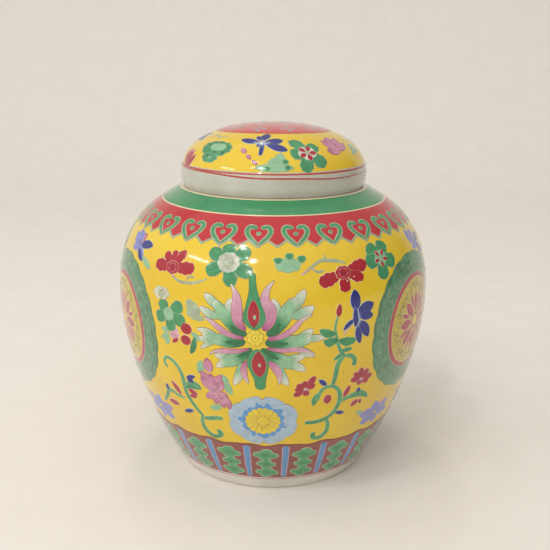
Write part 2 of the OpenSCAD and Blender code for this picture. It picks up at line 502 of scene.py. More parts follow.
    def finish(self):
        """Makes one piece of each paint used, and lets it ride on the body."""
        for paint, shells in self.shells.items():
            first, points, marks, edges, faces = 0, [], [], [], {}
            for place, shell_faces, mark, edge in shells:
                for group in shell_faces:
                    faces.setdefault(group.shape[1], []).append(group + first)
                first += len(place)
                points.append(place)
                marks.append(mark)
                edges.append(edge)
            name = f"{self.name}_{paint}"
            mesh = bpy.data.meshes.new(name)
            fill(mesh, np.concatenate(points) * MM, [np.concatenate(g) for g in faces.values()])
            mark = mesh.attributes.new("mark", "FLOAT_VECTOR", "POINT")
            mark.data.foreach_set("vector", np.concatenate(marks).astype(np.float32).reshape(-1))
            edge = mesh.attributes.new("edge", "FLOAT", "POINT")
            edge.data.foreach_set("value", np.concatenate(edges).astype(np.float32))
            piece = bpy.data.objects.new(name, mesh)
            bpy.context.scene.collection.objects.link(piece)
            mesh.materials.append(enamel(paint))
            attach(piece, self.body)


# --- Materials -------------------------------------------------------------------------------------------


class Graph:
    """A material's nodes, made and linked one call at a time."""

    def __init__(self, name):
        self.material = bpy.data.materials.new(name)
        self.material.use_nodes = True
        self.tree = self.material.node_tree
        self.tree.nodes.clear()

    def node(self, kind, inputs=None, **settings):
        """A node with its settings, and its inputs by name or number: a value, or a socket to link from."""
        made = self.tree.nodes.new(kind)
        for key, value in settings.items():
            setattr(made, key, value)
        for key, value in (inputs or {}).items():
            if isinstance(value, bpy.types.NodeSocket):
                self.tree.links.new(value, made.inputs[key])
            else:
                made.inputs[key].default_value = value
        return made

    def math(self, operation, *values):
        """One arithmetic step on numbers or sockets."""
        return self.node("ShaderNodeMath", dict(enumerate(values)), operation=operation).outputs[0]

    def blend(self, factor, one, other):
        """A mix of two colours."""
        inputs = {0: factor, 6: one, 7: other}
        return self.node("ShaderNodeMix", inputs, data_type="RGBA").outputs[2]

    def noise(self, vector, scale, detail=2.0, rough=0.5):
        inputs = {"Vector": vector, "Scale": scale, "Detail": detail, "Roughness": rough}
        return self.node("ShaderNodeTexNoise", inputs).outputs["Fac"]

    def fall(self, value, high, low):
        """1 where a value is under high, falling to 0 at low."""
        inputs = {"Value": value, "From Min": high, "From Max": low, "To Min": 1.0, "To Max": 0.0}
        return self.node("ShaderNodeMapRange", inputs).outputs[0]

    def finish(self, colour, roughness, bump, coat, strength, distance):
        """The glossy surface over a colour, with fixed gloss and a bump."""
        normal = self.node("ShaderNodeBump", {"Strength": strength, "Distance": distance, "Height": bump})
        inputs = {
            "Base Color": colour,
            "Roughness": roughness,
            "IOR": 1.52,
            "Coat Weight": coat,
            "Coat Roughness": 0.06,
            "Normal": normal.outputs[0],
        }
        surface = self.node("ShaderNodeBsdfPrincipled", inputs)
        self.node("ShaderNodeOutputMaterial", {0: surface.outputs[0]})
        return self.material


def colour(name):
    """A palette colour as it is set now, as red, green, blue and 1."""
    return (*getattr(bpy.context.scene.jar_colours, name), 1.0)


def laid(slot, streak, *stops, rim=None, width=0.3):
    """How a paint is laid: its colours run from a patch's base to its tip (or on a disc from its middle out),
    streak is how much the brush shows, and rim is the thin line, of this width, left round it."""
    return {"slot": "enamel_" + slot, "streak": streak, "stops": stops, "rim": rim, "width": width}


ENAMELS = {
    "band_green": laid("green", 0.35, (0, "band_green")),
    "band_red": laid("red", 0.25, (0, "band_red")),
    "cream": laid("white", 0.2, (0, "cream")),
    "cream_soft": laid("white", 0.9, (0, "fret_pale"), (1, "white"), rim="leaf_pale"),
    "brick": laid("red", 0.4, (0, "brick")),
    "bar_blue": laid("blue", 0.4, (0, "bar_blue")),
    "line_pink": laid("pink", 0.3, (0, "line_pink")),
    "line_red": laid("red", 0.5, (0, "line_red")),
    "leaf": laid("green", 0.5, (0, "leaf_dark"), (0.45, "leaf"), (1, "leaf"), rim="leaf_pale"),
    "vine": laid("green", 0.9, (0, "fret_green"), (1, "leaf"), rim="fret_pale"),
    "leaf_dark": laid("green", 0.4, (0, "leaf_dark")),
    "leaf_pale": laid("green", 0.5, (0, "leaf_pale"), rim="grey_green", width=0.25),
    "leaf_grey": laid("green", 1.0, (0, "fret_pale"), (1, "grey_green"), rim="leaf_pale"),
    "lotus": laid(
        "green", 0.6, (0, "leaf_dark"), (0.18, "leaf_dark"), (0.4, "leaf"), (0.6, "leaf_pale"),
        (0.85, "leaf_pale"), (1, "white"), rim="brown", width=0.32,
    ),
    "white": laid("white", 0.3, (0, "leaf_pale"), (0.45, "leaf_pale"), (0.75, "white"), rim="brown"),
    "grey_green": laid("green", 0.8, (0, "pink_pale"), (0.3, "grey_green"), (1, "fret_pale")),
    "red": laid("red", 0.35, (0, "red_deep"), (0.4, "red"), (1, "red"), rim="cream", width=0.28),
    "pink": laid(
        "pink", 0.6, (0, "pink_deep"), (0.25, "pink"), (0.7, "pink_pale"), (1, "white"), rim="brown",
        width=0.28,
    ),
    "rose": laid(
        "pink", 1.1, (0, "pink_pale"), (0.6, "pink"), (1, "pink_deep"), rim="rose_edge", width=0.32,
    ),
    "blue": laid(
        "blue", 0.5, (0, "blue_pale"), (0.3, "blue"), (0.6, "blue"), (1, "navy"), rim="sky", width=0.25,
    ),
    "blue_pale": laid(
        "blue", 0.7, (0, "blue"), (0.35, "blue_pale"), (1, "blue_pale"), rim="sky", width=0.25,
    ),
    "sky": laid("blue", 0.6, (0, "sky_deep"), (0.35, "sky"), (1, "sky"), rim="brown"),
    "sky_deep": laid("blue", 0.5, (0, "sky_deep")),
    "button": laid("yellow", 0.3, (0, "button")),
    "gold_button": laid("yellow", 0.4, (0, "button"), (1, "button"), rim="olive"),
    "olive": laid("yellow", 0.4, (0, "olive")),
    "gold": laid("yellow", 0.5, (0, "gold")),
    "brown": laid("red", 0.3, (0, "brown")),
    "crown_red": laid("red", 0.4, (0, "crown_red")),
    "crown_grey": laid("blue", 0.4, (0, "crown_grey"), rim="crown_pale"),
    "heart": laid("green", 0.5, (0, "leaf")),
    "heart_edge": laid("green", 0.6, (0, "grey_green")),
    "bar_edge": laid("pink", 0.5, (0, "pink_pale")),
    "fret": laid("green", 1.0, (0, "leaf"), (1, "fret_green")),
    "fret_dark": laid("green", 0.9, (0, "leaf"), (1, "leaf")),
    "brick_edge": laid("red", 0.5, (0, "brick_dark")),
    "leaf_petal": laid(
        "green", 0.8, (0, "leaf_pale"), (0.4, "leaf"), (1, "leaf"), rim="grey_green", width=0.4,
    ),
    "fret_edge": laid("white", 0.5, (0, "fret_pale")),
    "medallion_green": laid(
        "green", 1.5, (0, "medallion_green"), (1, "medallion_green"), rim="leaf_dark", width=0.35,
    ),
    "medallion_red": laid("red", 0.4, (0, "medallion_red"), rim="cream"),
    "ring_curl": laid("green", 0.8, (0, "leaf_dark"), (1, "grey_green")),
    "sheath": laid("green", 0.5, (0, "leaf"), (1, "leaf"), rim="leaf_dark"),
    "leaf_dark_edge": laid("green", 0.5, (0, "leaf"), (1, "leaf_dark"), rim="grey_green"),
    "pink_line": laid("pink", 0.4, (0, "pink_pale")),
    "pink_petal": laid("pink", 0.6, (0, "pink_pale"), (1, "pink_pale"), rim="cream"),
    "red_soft": laid("red", 0.6, (0, "red_soft"), (1, "red"), rim="pink_pale", width=0.28),
    "grey_line": laid("green", 0.4, (0, "olive")),
    "white_line": laid("white", 0.4, (0, "pink_pale"), (1, "white")),
    "sky_line": laid("blue", 0.4, (0, "sky")),
    "purple": laid("blue", 0.7, (0, "blue_pale"), (1, "purple"), rim="pink_pale", width=0.25),
}


def enamel(paint):
    """Fired enamel: colours run along the patch, brush streaks lighten and darken it lengthways, its rim is
    another colour, and the glossy face is a little uneven."""
    known = bpy.data.materials.get("enamel_" + paint)
    if known:
        return known
    recipe = ENAMELS[paint]
    graph = Graph("enamel_" + paint)
    mark = graph.node("ShaderNodeAttribute", attribute_name="mark").outputs["Vector"]
    edge = graph.node("ShaderNodeAttribute", attribute_name="edge").outputs["Fac"]
    place = graph.node("ShaderNodeTexCoord").outputs["Object"]
    parts = graph.node("ShaderNodeSeparateXYZ", {0: mark})
    streaks = graph.node("ShaderNodeVectorMath", {0: mark, 1: (2.0, 3.5, 60.0)}, operation="MULTIPLY")
    brushed = graph.noise(streaks.outputs[0], 1.6, 3.0, 0.6)
    mottle = graph.noise(place, 260.0, 3.0, 0.6)
    drift = graph.math("MULTIPLY_ADD", brushed, 0.25, graph.math("SUBTRACT", parts.outputs[0], 0.125))
    ramp = graph.node("ShaderNodeValToRGB", {0: drift})
    stops = recipe["stops"]
    while len(ramp.color_ramp.elements) < len(stops):
        ramp.color_ramp.elements.new(0.5)
    while len(ramp.color_ramp.elements) > len(stops):
        ramp.color_ramp.elements.remove(ramp.color_ramp.elements[-1])
    for element, (position, name) in zip(ramp.color_ramp.elements, stops):
        element.position = position
        element.color = colour(name)
    uneven = graph.math("ADD", graph.math("MULTIPLY", brushed, 0.5), graph.math("MULTIPLY", mottle, 0.5))
    darkest, lightest = 1 - 0.45 * recipe["streak"], 1 + 0.3 * recipe["streak"]
    inputs = {"Value": uneven, "From Min": 0.3, "From Max": 0.7, "To Min": darkest, "To Max": lightest}
    shade = graph.node("ShaderNodeMapRange", inputs).outputs[0]
    shaded = graph.node("ShaderNodeVectorMath", {0: ramp.outputs[0], "Scale": shade}, operation="SCALE")
    face = shaded.outputs[0]
    if recipe["rim"]:
        width = recipe["width"]
        face = graph.blend(graph.fall(edge, width * 0.8, width * 1.3), face, colour(recipe["rim"]))
    return graph.finish(face, 0.13, uneven, 0.5, 0.25, 0.0004)


def glaze(name, paint, second, roughness, coat, strength):
    """A wide glazed face: two close colours drift into each other over 20 to 40 mm with fine specks between
    them, and the gloss ripples a little."""
    graph = Graph(name)
    place = graph.node("ShaderNodeTexCoord").outputs["Object"]
    drift = graph.noise(place, 28.0, 3.0, 0.55)
    fine = graph.noise(place, 420.0, 2.0, 0.6)
    mixed = graph.math("ADD", graph.math("MULTIPLY", drift, 0.75), graph.math("MULTIPLY", fine, 0.25))
    inputs = {"Value": mixed, "From Min": 0.35, "From Max": 0.68}
    part = graph.node("ShaderNodeMapRange", inputs).outputs[0]
    face = graph.blend(part, colour(paint), colour(second))
    ripple = graph.math("ADD", graph.noise(place, 90.0, 2.0, 0.5), graph.math("MULTIPLY", fine, 0.12))
    return graph.finish(face, roughness, ripple, coat, strength, 0.0006)


def decorated(node):
    """A piece's outline, and the first and last points of its outer face, which runs up from the lowest edge
    to where the outline stops rising."""
    outline = outline_of(node)
    start = int(np.nonzero(outline[:, 1] < outline[:, 1].min() + 0.01)[0][-1])
    level = np.nonzero(np.diff(outline[start:, 1]) < 1e-3)[0]
    return outline, start, start + int(level[0]) if len(level) else len(outline) - 1


def ground_of(node, kind=Ground):
    """The outer face of a piece, under the enamel."""
    outline, start, end = decorated(node)
    relief = bpy.context.scene.jar_sizes.relief / MM
    return kind(outline[start : end + 1], relief, LOW_FADE, HIGH_FADE if end + 1 < len(outline) else 0.0)


def jar_brush(name):
    return Brush(name, ground_of("jar_body"), "jar")


def lid_brush(name):
    return Brush(name, ground_of("lid"), "lid", by_run=True)


def heading(turn):
    """The flat direction at an angle round from straight up, to the right."""
    return np.array([math.sin(turn), math.cos(turn)])


def spokes(count, start=0.0):
    """Flat directions evenly round, the first of them a part start of the gap past straight up."""
    return [heading((k + start) / count * TURN) for k in range(count)]


# --- Operators -------------------------------------------------------------------------------------------


class Step:
    """What the jar's operators share."""

    bl_options = {"REGISTER", "UNDO"}


class PanelStep(Step):
    """An operator that paints the same thing on each of the three panels, into pieces named after group."""

    def execute(self, context):
        brush = jar_brush(self.group)
        front = math.degrees(context.scene.jar_sizes.panel_front)
        for middle, squeeze in ((front, 1.0), *SIDE_PANELS):
            brush.panel(front, middle, squeeze)
            self.paint(brush)
        brush.finish()
        return {"FINISHED"}


class JAR_OT_porcelain(Step, bpy.types.Operator):
    """Turned porcelain of the jar and the lid, with its yellow ground and its bare clay"""

    bl_idname = "jar.porcelain"
    bl_label = "Porcelain"

    def execute(self, context):
        sizes = context.scene.jar_sizes
        white = glaze("glaze_white", "porcelain", "porcelain_grey", 0.12, 0.5, 0.1)
        rim = glaze("glaze_rim", "porcelain_grey", "porcelain_warm", 0.12, 0.5, 0.1)
        yellow = glaze("glaze_yellow", "yellow", "deep_yellow", 0.12, 0.5, 0.14)
        bare = glaze("bare_clay", "biscuit", "biscuit_dark", 0.6, 0.0, 0.5)
        for node, body, name, edge, plain in (
            ("jar_body", "jar", "jar_glaze", (sizes.foot_band + YELLOW_RISE * MM) / MM, white),
            ("lid", "lid", "lid_glaze", sizes.lid_band / MM, rim),
        ):
            outline, start, end = decorated(node)
            ground = ground_of(node)
            before = [self.close_rows(part) for part in stretches(outline[: start + 1])]
            above = stretches(outline[end:]) if end + 1 < len(outline) else []
            after = [self.close_rows(part) for part in above]
            line = np.vstack([*before, ground.line[::3], *after])
            first = sum(len(part) for part in before)
            kind = np.zeros(len(line), int)
            kind[first : first + len(ground.line[::3])] = ground.run[::3] > edge
            kind[line[:, 1] < outline[:, 1].min() + 0.3] = 2
            keep = line[:, 0] > 0.05
            line, kind = line[keep], kind[keep]
            mesh, row = turned_mesh(name, line)
            for material in (plain, yellow, bare):
                mesh.materials.append(material)
            mesh.polygons.foreach_set("material_index", kind[row].astype(np.int32))
            piece = bpy.data.objects.new(name, mesh)
            context.scene.collection.objects.link(piece)
            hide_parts(node)
            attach(piece, body)
        return {"FINISHED"}

    def close_rows(self, part):
        """A smooth stretch of an outline with rows close to both ends, which keep its corners crisp."""
        line = flowing(part, GLAZE_STEP)
        if np.linalg.norm(part[-1] - part[0]) < 0.5:
            return line
        one, other = line[1] - line[0], line[-2] - line[-1]
        one, other = one * 0.08 / np.linalg.norm(one), other * 0.08 / np.linalg.norm(other)
        return np.vstack([line[0], line[0] + one, line[1:-1], line[-1] + other, line[-1]])


class JAR_OT_shoulder(Step, bpy.types.Operator):
    """Green band, red band with its row of hearts, and the cream lines round the shoulder"""

    bl_idname = "jar.shoulder"
    bl_label = "Shoulder bands"

    def execute(self, context):
        sizes = context.scene.jar_sizes
        brush = jar_brush("shoulder")
        ground = brush.ground
        top = ground.run[-1] - 0.35
        green = ground.run_at(sizes.green_band / MM)
        red = ground.run_at(sizes.red_band / MM)
        brush.band("band_green", lambda a: green + 0 * a, lambda a: top - 0.3 + 0 * a)
        brush.band("cream", lambda a: top - 0.5 + 0 * a, lambda a: top + 0.2 + 0 * a, level=0.01)
        brush.band(
            "cream", lambda a: green - 1.0 + 0.12 * np.sin(3 * a), lambda a: green + 0.15 + 0 * a, level=0.02
        )

        teeth = 2 * sizes.hearts
        front = sizes.panel_front

        def zigzag(a):
            """Low at each heart's tip and half-way between hearts, and high between those."""
            part = np.abs(((a - front) * teeth / TURN) % 1 - 0.5) * 2
            return red + 1.0 - 3.9 * part + 0.25 * np.sin(5 * a)

        brush.band("heart_edge", lambda a: zigzag(a) - 1.6, lambda a: zigzag(a) + 0.3, columns=teeth * 16)
        brush.band("band_red", zigzag, lambda a: green - 0.75 + 0 * a, columns=teeth * 16, level=0.03)

        half = [(0, -6.2), (3.1, -3.2), (5.6, 0.0), (6.2, 3.2), (4.7, 5.3), (2.5, 5.0), (1.8, 3.2)]
        height = ground.run_at((sizes.red_band / MM) + 2.4)
        for k in range(sizes.hearts):
            origin = (front + k * TURN / sizes.hearts, height)
            shift = 0.5 * math.sin(k * 2.3)
            for sign in (-1, 1):
                line = [(sign * x + shift * 0.3, y * (1 + 0.03 * math.sin(k * 1.7))) for x, y in half]
                brush.flat_stroke("heart_edge", origin, line, [2.6, 3.4, 3.6, 3.7, 3.7, 3.7, 3.6], level=0.06)
                brush.flat_stroke("heart", origin, line, [1.2, 1.8, 2.1, 2.3, 2.4, 2.5, 2.6], level=0.1)
            brush.flat_disc("heart_edge", origin, (shift * 0.3, 1.0), (1.5, 1.5), level=0.08)
            brush.flat_disc("heart", origin, (shift * 0.3, 1.0), (1.1, 1.1), level=0.12)
        brush.finish()
        return {"FINISHED"}


class JAR_OT_foot_band(Step, bpy.types.Operator):
    """Brick-red band over the foot with blue bars and green frets"""

    bl_idname = "jar.foot_band"
    bl_label = "Foot band"

    def execute(self, context):
        sizes = context.scene.jar_sizes
        brush = jar_brush("foot")
        ground = brush.ground
        low = ground.run_at(sizes.foot_band / MM)
        high = ground.run_at(sizes.foot_band_top / MM)
        front = sizes.panel_front + math.radians(11.6)

        def crest(a):
            return high + 0.7 + 0.7 * np.sin(sizes.bars * (a - front) + 1.6) + 0.3 * np.sin(37 * a)

        brush.band("brick", lambda a: low + 1.8 + 0 * a, crest, columns=720)
        brush.band("brick_edge", lambda a: crest(a) - 0.55, lambda a: crest(a) + 0.3, level=0.02, columns=720)
        brush.band(
            "line_pink", lambda a: low + 0.12 * np.sin(4 * a), lambda a: low + 0.9 + 0.15 * np.sin(3 * a)
        )
        tall = high - low
        for k in range(sizes.bars):
            bar = (front + k * TURN / sizes.bars, low)
            lean = 0.4 * math.sin(k * 2.1)
            line = [(lean, 1.9), (0.2 * lean, tall * 0.5), (-lean, tall + 0.6)]
            brush.flat_stroke("bar_edge", bar, line, [3.2, 4.3, 4.6], level=0.03, step=2.0)
            brush.flat_stroke("bar_blue", bar, line, [2.4, 3.4, 3.8], level=0.07, step=2.0)
            self.fret(brush, (bar[0] + TURN / sizes.bars / 2, low), tall / 28.9, k)
        brush.finish()
        return {"FINISHED"}

    def fret(self, brush, middle, scale, k):
        """A stack of three four-lobed leaves, broad, narrow and broad, on a short stem."""
        sway = 0.4 * math.sin(k * 1.9)
        leaves = ((21.6, 6.4, 4.6, 0.9), (14.2, 4.9, 4.0, 0.2), (7.0, 5.8, 4.4, 0.6))
        for paint, grow, level in (("fret_edge", 0.6, 0.03), ("fret", 0.0, 0.07)):
            stem = [(sway, 3.6 * scale), (0, 15 * scale), (-sway, 26.6 * scale)]
            brush.flat_stroke(paint, middle, stem, 2.4 + 2 * grow, level, step=2.0)
            for height, wide, tall, turn in leaves:
                size = (wide * scale + grow, tall * scale + grow)
                centre = (0.3 * math.sin(height + 2 * k), height * scale)
                twist = 45 + 8 * math.sin(turn + k)
                brush.flat_disc(paint, middle, centre, size, lobes=4, notch=0.34, turn=twist,
                                level=level + 0.015, round_lobe=0.8)
        for height, wide, tall, turn in leaves:
            brush.flat_disc("fret_dark", middle, (0.6 * math.sin(turn * 5 + k), height * scale),
                            (0.4 * wide, 0.36 * tall), lobes=4, notch=0.2, level=0.11)


class JAR_OT_medallions(Step, bpy.types.Operator):
    """Three round medallions between the panels, each a green ring about a gold field with a red rosette"""

    bl_idname = "jar.medallions"
    bl_label = "Medallions"

    def execute(self, context):
        brush = jar_brush("medallion")
        size = context.scene.jar_sizes.medallion / MM
        for place in ((-68.0, 100.0), (60.5, 102.6), (176.0, 101.6)):
            brush.ring("medallion_green", place, 28.2, size, lobes=20, notch=0.9)
            brush.ring("medallion_red", place, 25.6, 28.9, level=0.04)
            brush.disc("gold", place, 26.0)
            origin = brush.spot(place)
            for k in range(30):
                self.curl(brush, "olive", origin, k / 30 * TURN, 20.6 + 1.3 * math.sin(k * 2.4), k * 1.3)
            for start, near, far, width in ((0.0, 5.0, 17.5, 6.4), (0.5, 9.0, 18.5, 3.4)):
                for way in spokes(8, start):
                    brush.flat_petal("medallion_red", origin, way * near, way * far, width, level=0.08)
            brush.ring("medallion_red", place, 3.4, 5.4, level=0.12)
            brush.disc("button", place, 3.2, lobes=8, notch=0.15, level=0.05)
            for k in range(36):
                turn = k / 36 * TURN
                self.curl(brush, "ring_curl", origin, turn, 34.2 + 2.0 * math.sin(k * 4.1), (k + 3) * 1.3)
        brush.finish()
        return {"FINISHED"}

    def curl(self, brush, paint, origin, turn, away, spin):
        """A small hooked stroke at a distance from the middle, spun from facing outwards."""
        hook = [(0.5, 0.1), (0.35, 0.5), (-0.2, 0.5), (-0.45, 0.05), (-0.2, -0.4), (0.15, -0.25)]
        size = 3.4
        middle = heading(turn) * away
        cos, sin = math.cos(turn + spin) * size, math.sin(turn + spin) * size
        line = [middle + (x * cos - y * sin, x * sin + y * cos) for x, y in hook]
        brush.flat_stroke(paint, origin, line, 1.0, level=0.06)


class JAR_OT_lotus(PanelStep, bpy.types.Operator):
    """Large lotus in the middle of each panel"""

    bl_idname = "jar.lotus"
    bl_label = "Lotus"
    group = "lotus"

    def paint(self, brush):
        self.green_petals(brush)
        self.pink_petals(brush)
        self.sheaths(brush)
        middle = (-5.4, 107.6)
        brush.disc("gold_button", middle, 4.9, lobes=8, notch=0.16, level=0.15)
        for way in spokes(8):
            brush.flat_stroke("olive", brush.spot(middle), [way * 2.6, way * 4.4], 0.45, level=0.18)
        brush.ring("olive", middle, 1.8, 2.3, level=0.18)
        brush.disc("olive", middle, 0.7, level=0.18)

    def green_petals(self, brush):
        """Each is a broad stroke that pales outwards, with white lobes at its end."""
        petals = (
            (((-8, 109.5), (-11, 111), (-14, 116), (-16.4, 121), (-19.4, 126.4)), (3.6, 5.4, 6.8, 7.0, 4.6)),
            (((-2, 109.5), (0.8, 112), (3.2, 117), (5.0, 123), (8.2, 128.6)), (3.6, 5.6, 7.4, 7.8, 5)),
            (((-8.6, 105.6), (-12, 104.6), (-17, 105.2), (-23.2, 107.6)), (4, 6.4, 7.2, 4)),
            (((-2.4, 105.4), (2, 104.8), (7, 105.6), (12.8, 107.4)), (4, 6, 7.8, 5)),
            (((-6.6, 101.6), (-9.4, 97.6), (-13, 94.2), (-17.6, 92.4)), (3, 6.2, 8.2, 5)),
            (((-3.4, 101.6), (-0.6, 98), (3.4, 94.6), (8.6, 92)), (3, 6.2, 8.6, 5)),
        )
        lobes = (
            ((-15.4, 117.5), (-24.4, 122.4), 5.2, 1.2), ((-16.4, 120), (-22.8, 129.6), 5.6, -0.6),
            ((-13.6, 115), (-13.4, 128.6), 6.4, 0.4), ((4.4, 120), (10.6, 133.6), 6.2, -0.8),
            ((5.0, 119.4), (13.4, 124.6), 6.6, -1.4), ((2.8, 115.6), (0.2, 129.0), 6.6, 0.6),
            ((-16, 106), (-25.2, 109.8), 4.6, -0.6), ((-17, 105), (-25.4, 104.8), 4.2, 0.3),
            ((-17, 104), (-24.2, 98.6), 3.4, -1.2), ((6.6, 106.4), (13.0, 112.4), 5.6, -1.0),
            ((9, 106.4), (17.2, 106.8), 4.6, 0.4), ((7.4, 105), (14.2, 97.0), 5.2, -1.6),
            ((-11.4, 95.6), (-19.4, 96.2), 5.0, 0.5), ((-11.6, 94.2), (-19.0, 89.0), 5.2, -0.6),
            ((-10.6, 94.6), (-13.2, 78.6), 5.2, 1.6), ((2.6, 95.8), (10.6, 96.8), 5.4, -0.4),
            ((3.2, 94.4), (11.2, 88.2), 5.6, 0.6), ((2.4, 94.6), (5.6, 79.4), 5.6, -1.6),
        )
        for base, tip, width, bend in lobes:
            brush.petal("white", base, tip, width, fat=1.25, bend=bend)
        for places, widths in petals:
            brush.stroke("lotus", places, widths, level=0.03)
        for places in (
            ((-8.4, 109), (-11, 110.4), (-13.4, 114.6)), ((-1.8, 109.6), (0.8, 112.2), (2.6, 116.6)),
            ((-8.4, 105.2), (-12, 104.4), (-15.4, 104.6)), ((-2, 105), (2, 104.4), (5.4, 104.8)),
            ((-6.6, 102), (-8.6, 98.8), (-11.4, 96.2)), ((-3.4, 102), (-1.2, 98.8), (2.6, 95.6)),
        ):
            brush.stroke("leaf_dark", places, (2.2, 3.4, 1.0), level=0.06)

    def pink_petals(self, brush):
        """Narrow flame-shaped petals between the green ones."""
        petals = (
            (((-8.2, 112), (-10.8, 116), (-11.4, 122), (-11.6, 129), (-14, 136)), (2.2, 5.6, 6.6, 4.6, 0.8)),
            (((-3.2, 112), (-1.2, 116), (-0.8, 122), (-2.4, 129), (-1.8, 133), (0.8, 138)),
             (2.4, 6.2, 7.4, 5.2, 3.6, 0.8)),
            (((-9, 107.3), (-13.5, 108.5), (-17.5, 112), (-20, 115), (-23, 117)), (2.0, 3.2, 3.8, 2.6, 0.7)),
            (((-1.6, 107.3), (3, 108.8), (7, 113), (9.5, 117.5), (13, 119.8)), (2.4, 3.4, 3.6, 2.6, 0.7)),
            (((-7.0, 101.4), (-12, 99.4), (-17, 98.8), (-19.6, 97.8), (-21, 95.2)),
             (1.4, 3.0, 3.0, 1.8, 0.6)),
            (((-1.8, 102), (3, 100.8), (8, 101), (11.5, 99.5), (14, 96)), (1.6, 2.8, 3.2, 2.4, 0.7)),
            (((-8, 94.5), (-9.4, 89), (-9, 84.5), (-7.8, 80)), (1.6, 4.0, 3.2, 0.7)),
            (((-1.6, 94.5), (0.8, 91), (2.4, 86), (2.2, 80)), (2.0, 4.6, 3.8, 0.8)),
        )
        for places, widths in petals:
            brush.stroke("pink", places, widths, level=0.07)

    def sheaths(self, brush):
        """The two upright green sheaths and their red hearts, each heart with a white speck; the upper speck
        is a painted highlight.
        """
        brush.stroke("sheath", ((-5.8, 112), (-5.7, 118.5), (-5.9, 125), (-6.2, 131), (-6.9, 142)),
                     (8.4, 12.4, 9.2, 5.4, 4.2), level=0.1)
        brush.stroke("sheath", ((-4.6, 101.5), (-4.6, 94), (-4.2, 87), (-4.0, 82), (-4.0, 76.5)),
                     (6.0, 12.0, 9.0, 6.2, 6.8), level=0.1)
        brush.petal("red", (-5.8, 113.4), (-6.1, 128.2), 6.8, fat=0.85, level=0.15)
        brush.petal("red", (-4.5, 100.5), (-4.1, 84.8), 8.4, fat=1.1, level=0.15)
        # White specks on the red hearts: the upper one is a painted highlight, and the lower one is drawn the
        # same way.
        brush.disc("white", (-5.6, 119), (1.0, 1.5), level=0.18)
        brush.disc("white", (-4.1, 92), (1.0, 1.4), level=0.18)


class JAR_OT_upper_flowers(PanelStep, bpy.types.Operator):
    """Flowers and sprays along the top of each panel"""

    bl_idname = "jar.upper_flowers"
    bl_label = "Upper flowers"
    group = "upper"

    def paint(self, brush):
        self.iris(brush)
        self.peonies(brush)
        self.green_flowers(brush)
        self.sprays(brush)

    def iris(self, brush):
        brush.petals("blue_pale", (
            ((-60, 146), (-66.5, 151.5), 6.4, 0.02, 1.0), ((-59, 146.5), (-61.5, 153), 5.0, 0.04),
            ((-61, 147), (-54, 141.5), 5.6, 0.05, -0.8), ((-59, 145), (-65, 143.5), 5.0, 0.03),
        ))
        brush.petals("blue", (
            ((-58.5, 146.2), (-49.8, 147.5), 5.6, 0.08, 0.6), ((-59, 145), (-53.5, 138.6), 4.2, 0.08, -0.8),
        ))
        brush.petal("leaf_pale", (-54.5, 141), (-47.5, 136), 4.0, level=0.01)

    def peonies(self, brush):
        for middle, petals in (
            ((-36.5, 139.9), (((-45.0, 140.2), 7.6), ((-41.2, 147.0), 5.8), ((-36.9, 148.6), 5.2),
                              ((-32.4, 149.2), 5.8), ((-27.4, 141.2), 7.8))),
            ((24.2, 140.2), (((15.4, 135.6), 7.8), ((34.2, 143.6), 7.8), ((32.0, 136.2), 6.6),
                             ((24.6, 130.2), 7.2))),
        ):
            for k, (tip, width) in enumerate(petals):
                brush.petal("red", middle, tip, width, level=0.015 * k, fat=1.7, blunt=0.38, wave=0.1)
            brush.disc("red", middle, (4.8, 4.0), lobes=7, notch=0.1, level=0.1)
            brush.ring("pink_line", middle, 2.3, 2.8, lobes=5, notch=0.3, level=0.13)
        for angle, height in ((27.0, 136.4), (28.2, 137.6), (25.4, 135.8)):
            brush.disc("cream", (angle, height), 0.55, level=0.13)

    def green_flowers(self, brush):
        white, red = (-15.2, 146.0), (41.4, 144.4)
        brush.bloom("leaf_petal", white, ((-22.8, 151.2), (-16.0, 154.6), (-22.8, 140.2), (-13.6, 134.2),
                                          (-8.0, 152.4), (-7.0, 140.6)), 8.2, 0.012, wave=0.06)
        brush.bloom("leaf_petal", red, ((36.4, 151.4), (44.8, 152.4), (34.2, 143.4), (41.0, 133.2),
                                        (48.4, 141.0)), 9.0, 0.012, wave=0.06)
        brush.disc("cream_soft", white, (6.4, 5.8), lobes=9, notch=0.1, level=0.09)
        origin = brush.spot(white)
        for k in range(14):
            way = heading(k * 0.449)
            brush.flat_stroke("grey_line", origin, [way * 1.2, way * (3.8 + 0.9 * (k % 2))], 0.4, level=0.12)
        brush.disc("leaf_pale", red, (5.0, 4.8), lobes=5, notch=0.15, level=0.08)
        origin = brush.spot(red)
        for k in range(5):
            way = heading(k * TURN / 5 + 0.6)
            brush.flat_petal("red", origin, way * 0.9, way * 5.4, 2.5, level=0.12, fat=1.3)
        brush.disc("leaf_pale", (5.2, 145.4), (7.2, 4.2), lobes=7, notch=0.14, level=0.01)
        for place, size in (
            ((1.8, 147.6), (2.6, 2.0)), ((5.8, 149.6), (2.5, 2.2)), ((10.0, 148.2), (2.6, 2.3)),
        ):
            brush.disc("leaf", place, size, lobes=3, notch=0.15, level=0.05)

    def sprays(self, brush):
        left = ((-37.5, 138.5), (-34, 134.2), (-29, 133.6), (-22, 137.2))
        brush.stroke("grey_green", left, (1.0, 1.6, 1.8, 0.7))
        brush.stroke("grey_green", ((-30, 134.5), (-28.6, 137), (-26.8, 136.4)), (0.8, 1.2, 0.8), level=0.03)
        brush.stroke("grey_green", ((9.4, 140.2), (12.5, 143.4), (16.5, 146.8), (21, 146.6), (26, 144.6)),
                     (0.9, 1.5, 2.0, 2.2, 0.8))
        brush.stroke("grey_green", ((13, 144), (16, 141.6), (17.5, 142.4)), (1.0, 1.4, 1.2), level=0.03)
        brush.stroke("grey_green", ((18, 147), (18.6, 150)), (1.2, 0.9), level=0.03)
        brush.petal("rose", (66, 146), (71, 152), 7.0, level=0.02)
        brush.petal("blue_pale", (66.5, 147), (64, 153.5), 5.6, level=0.03)


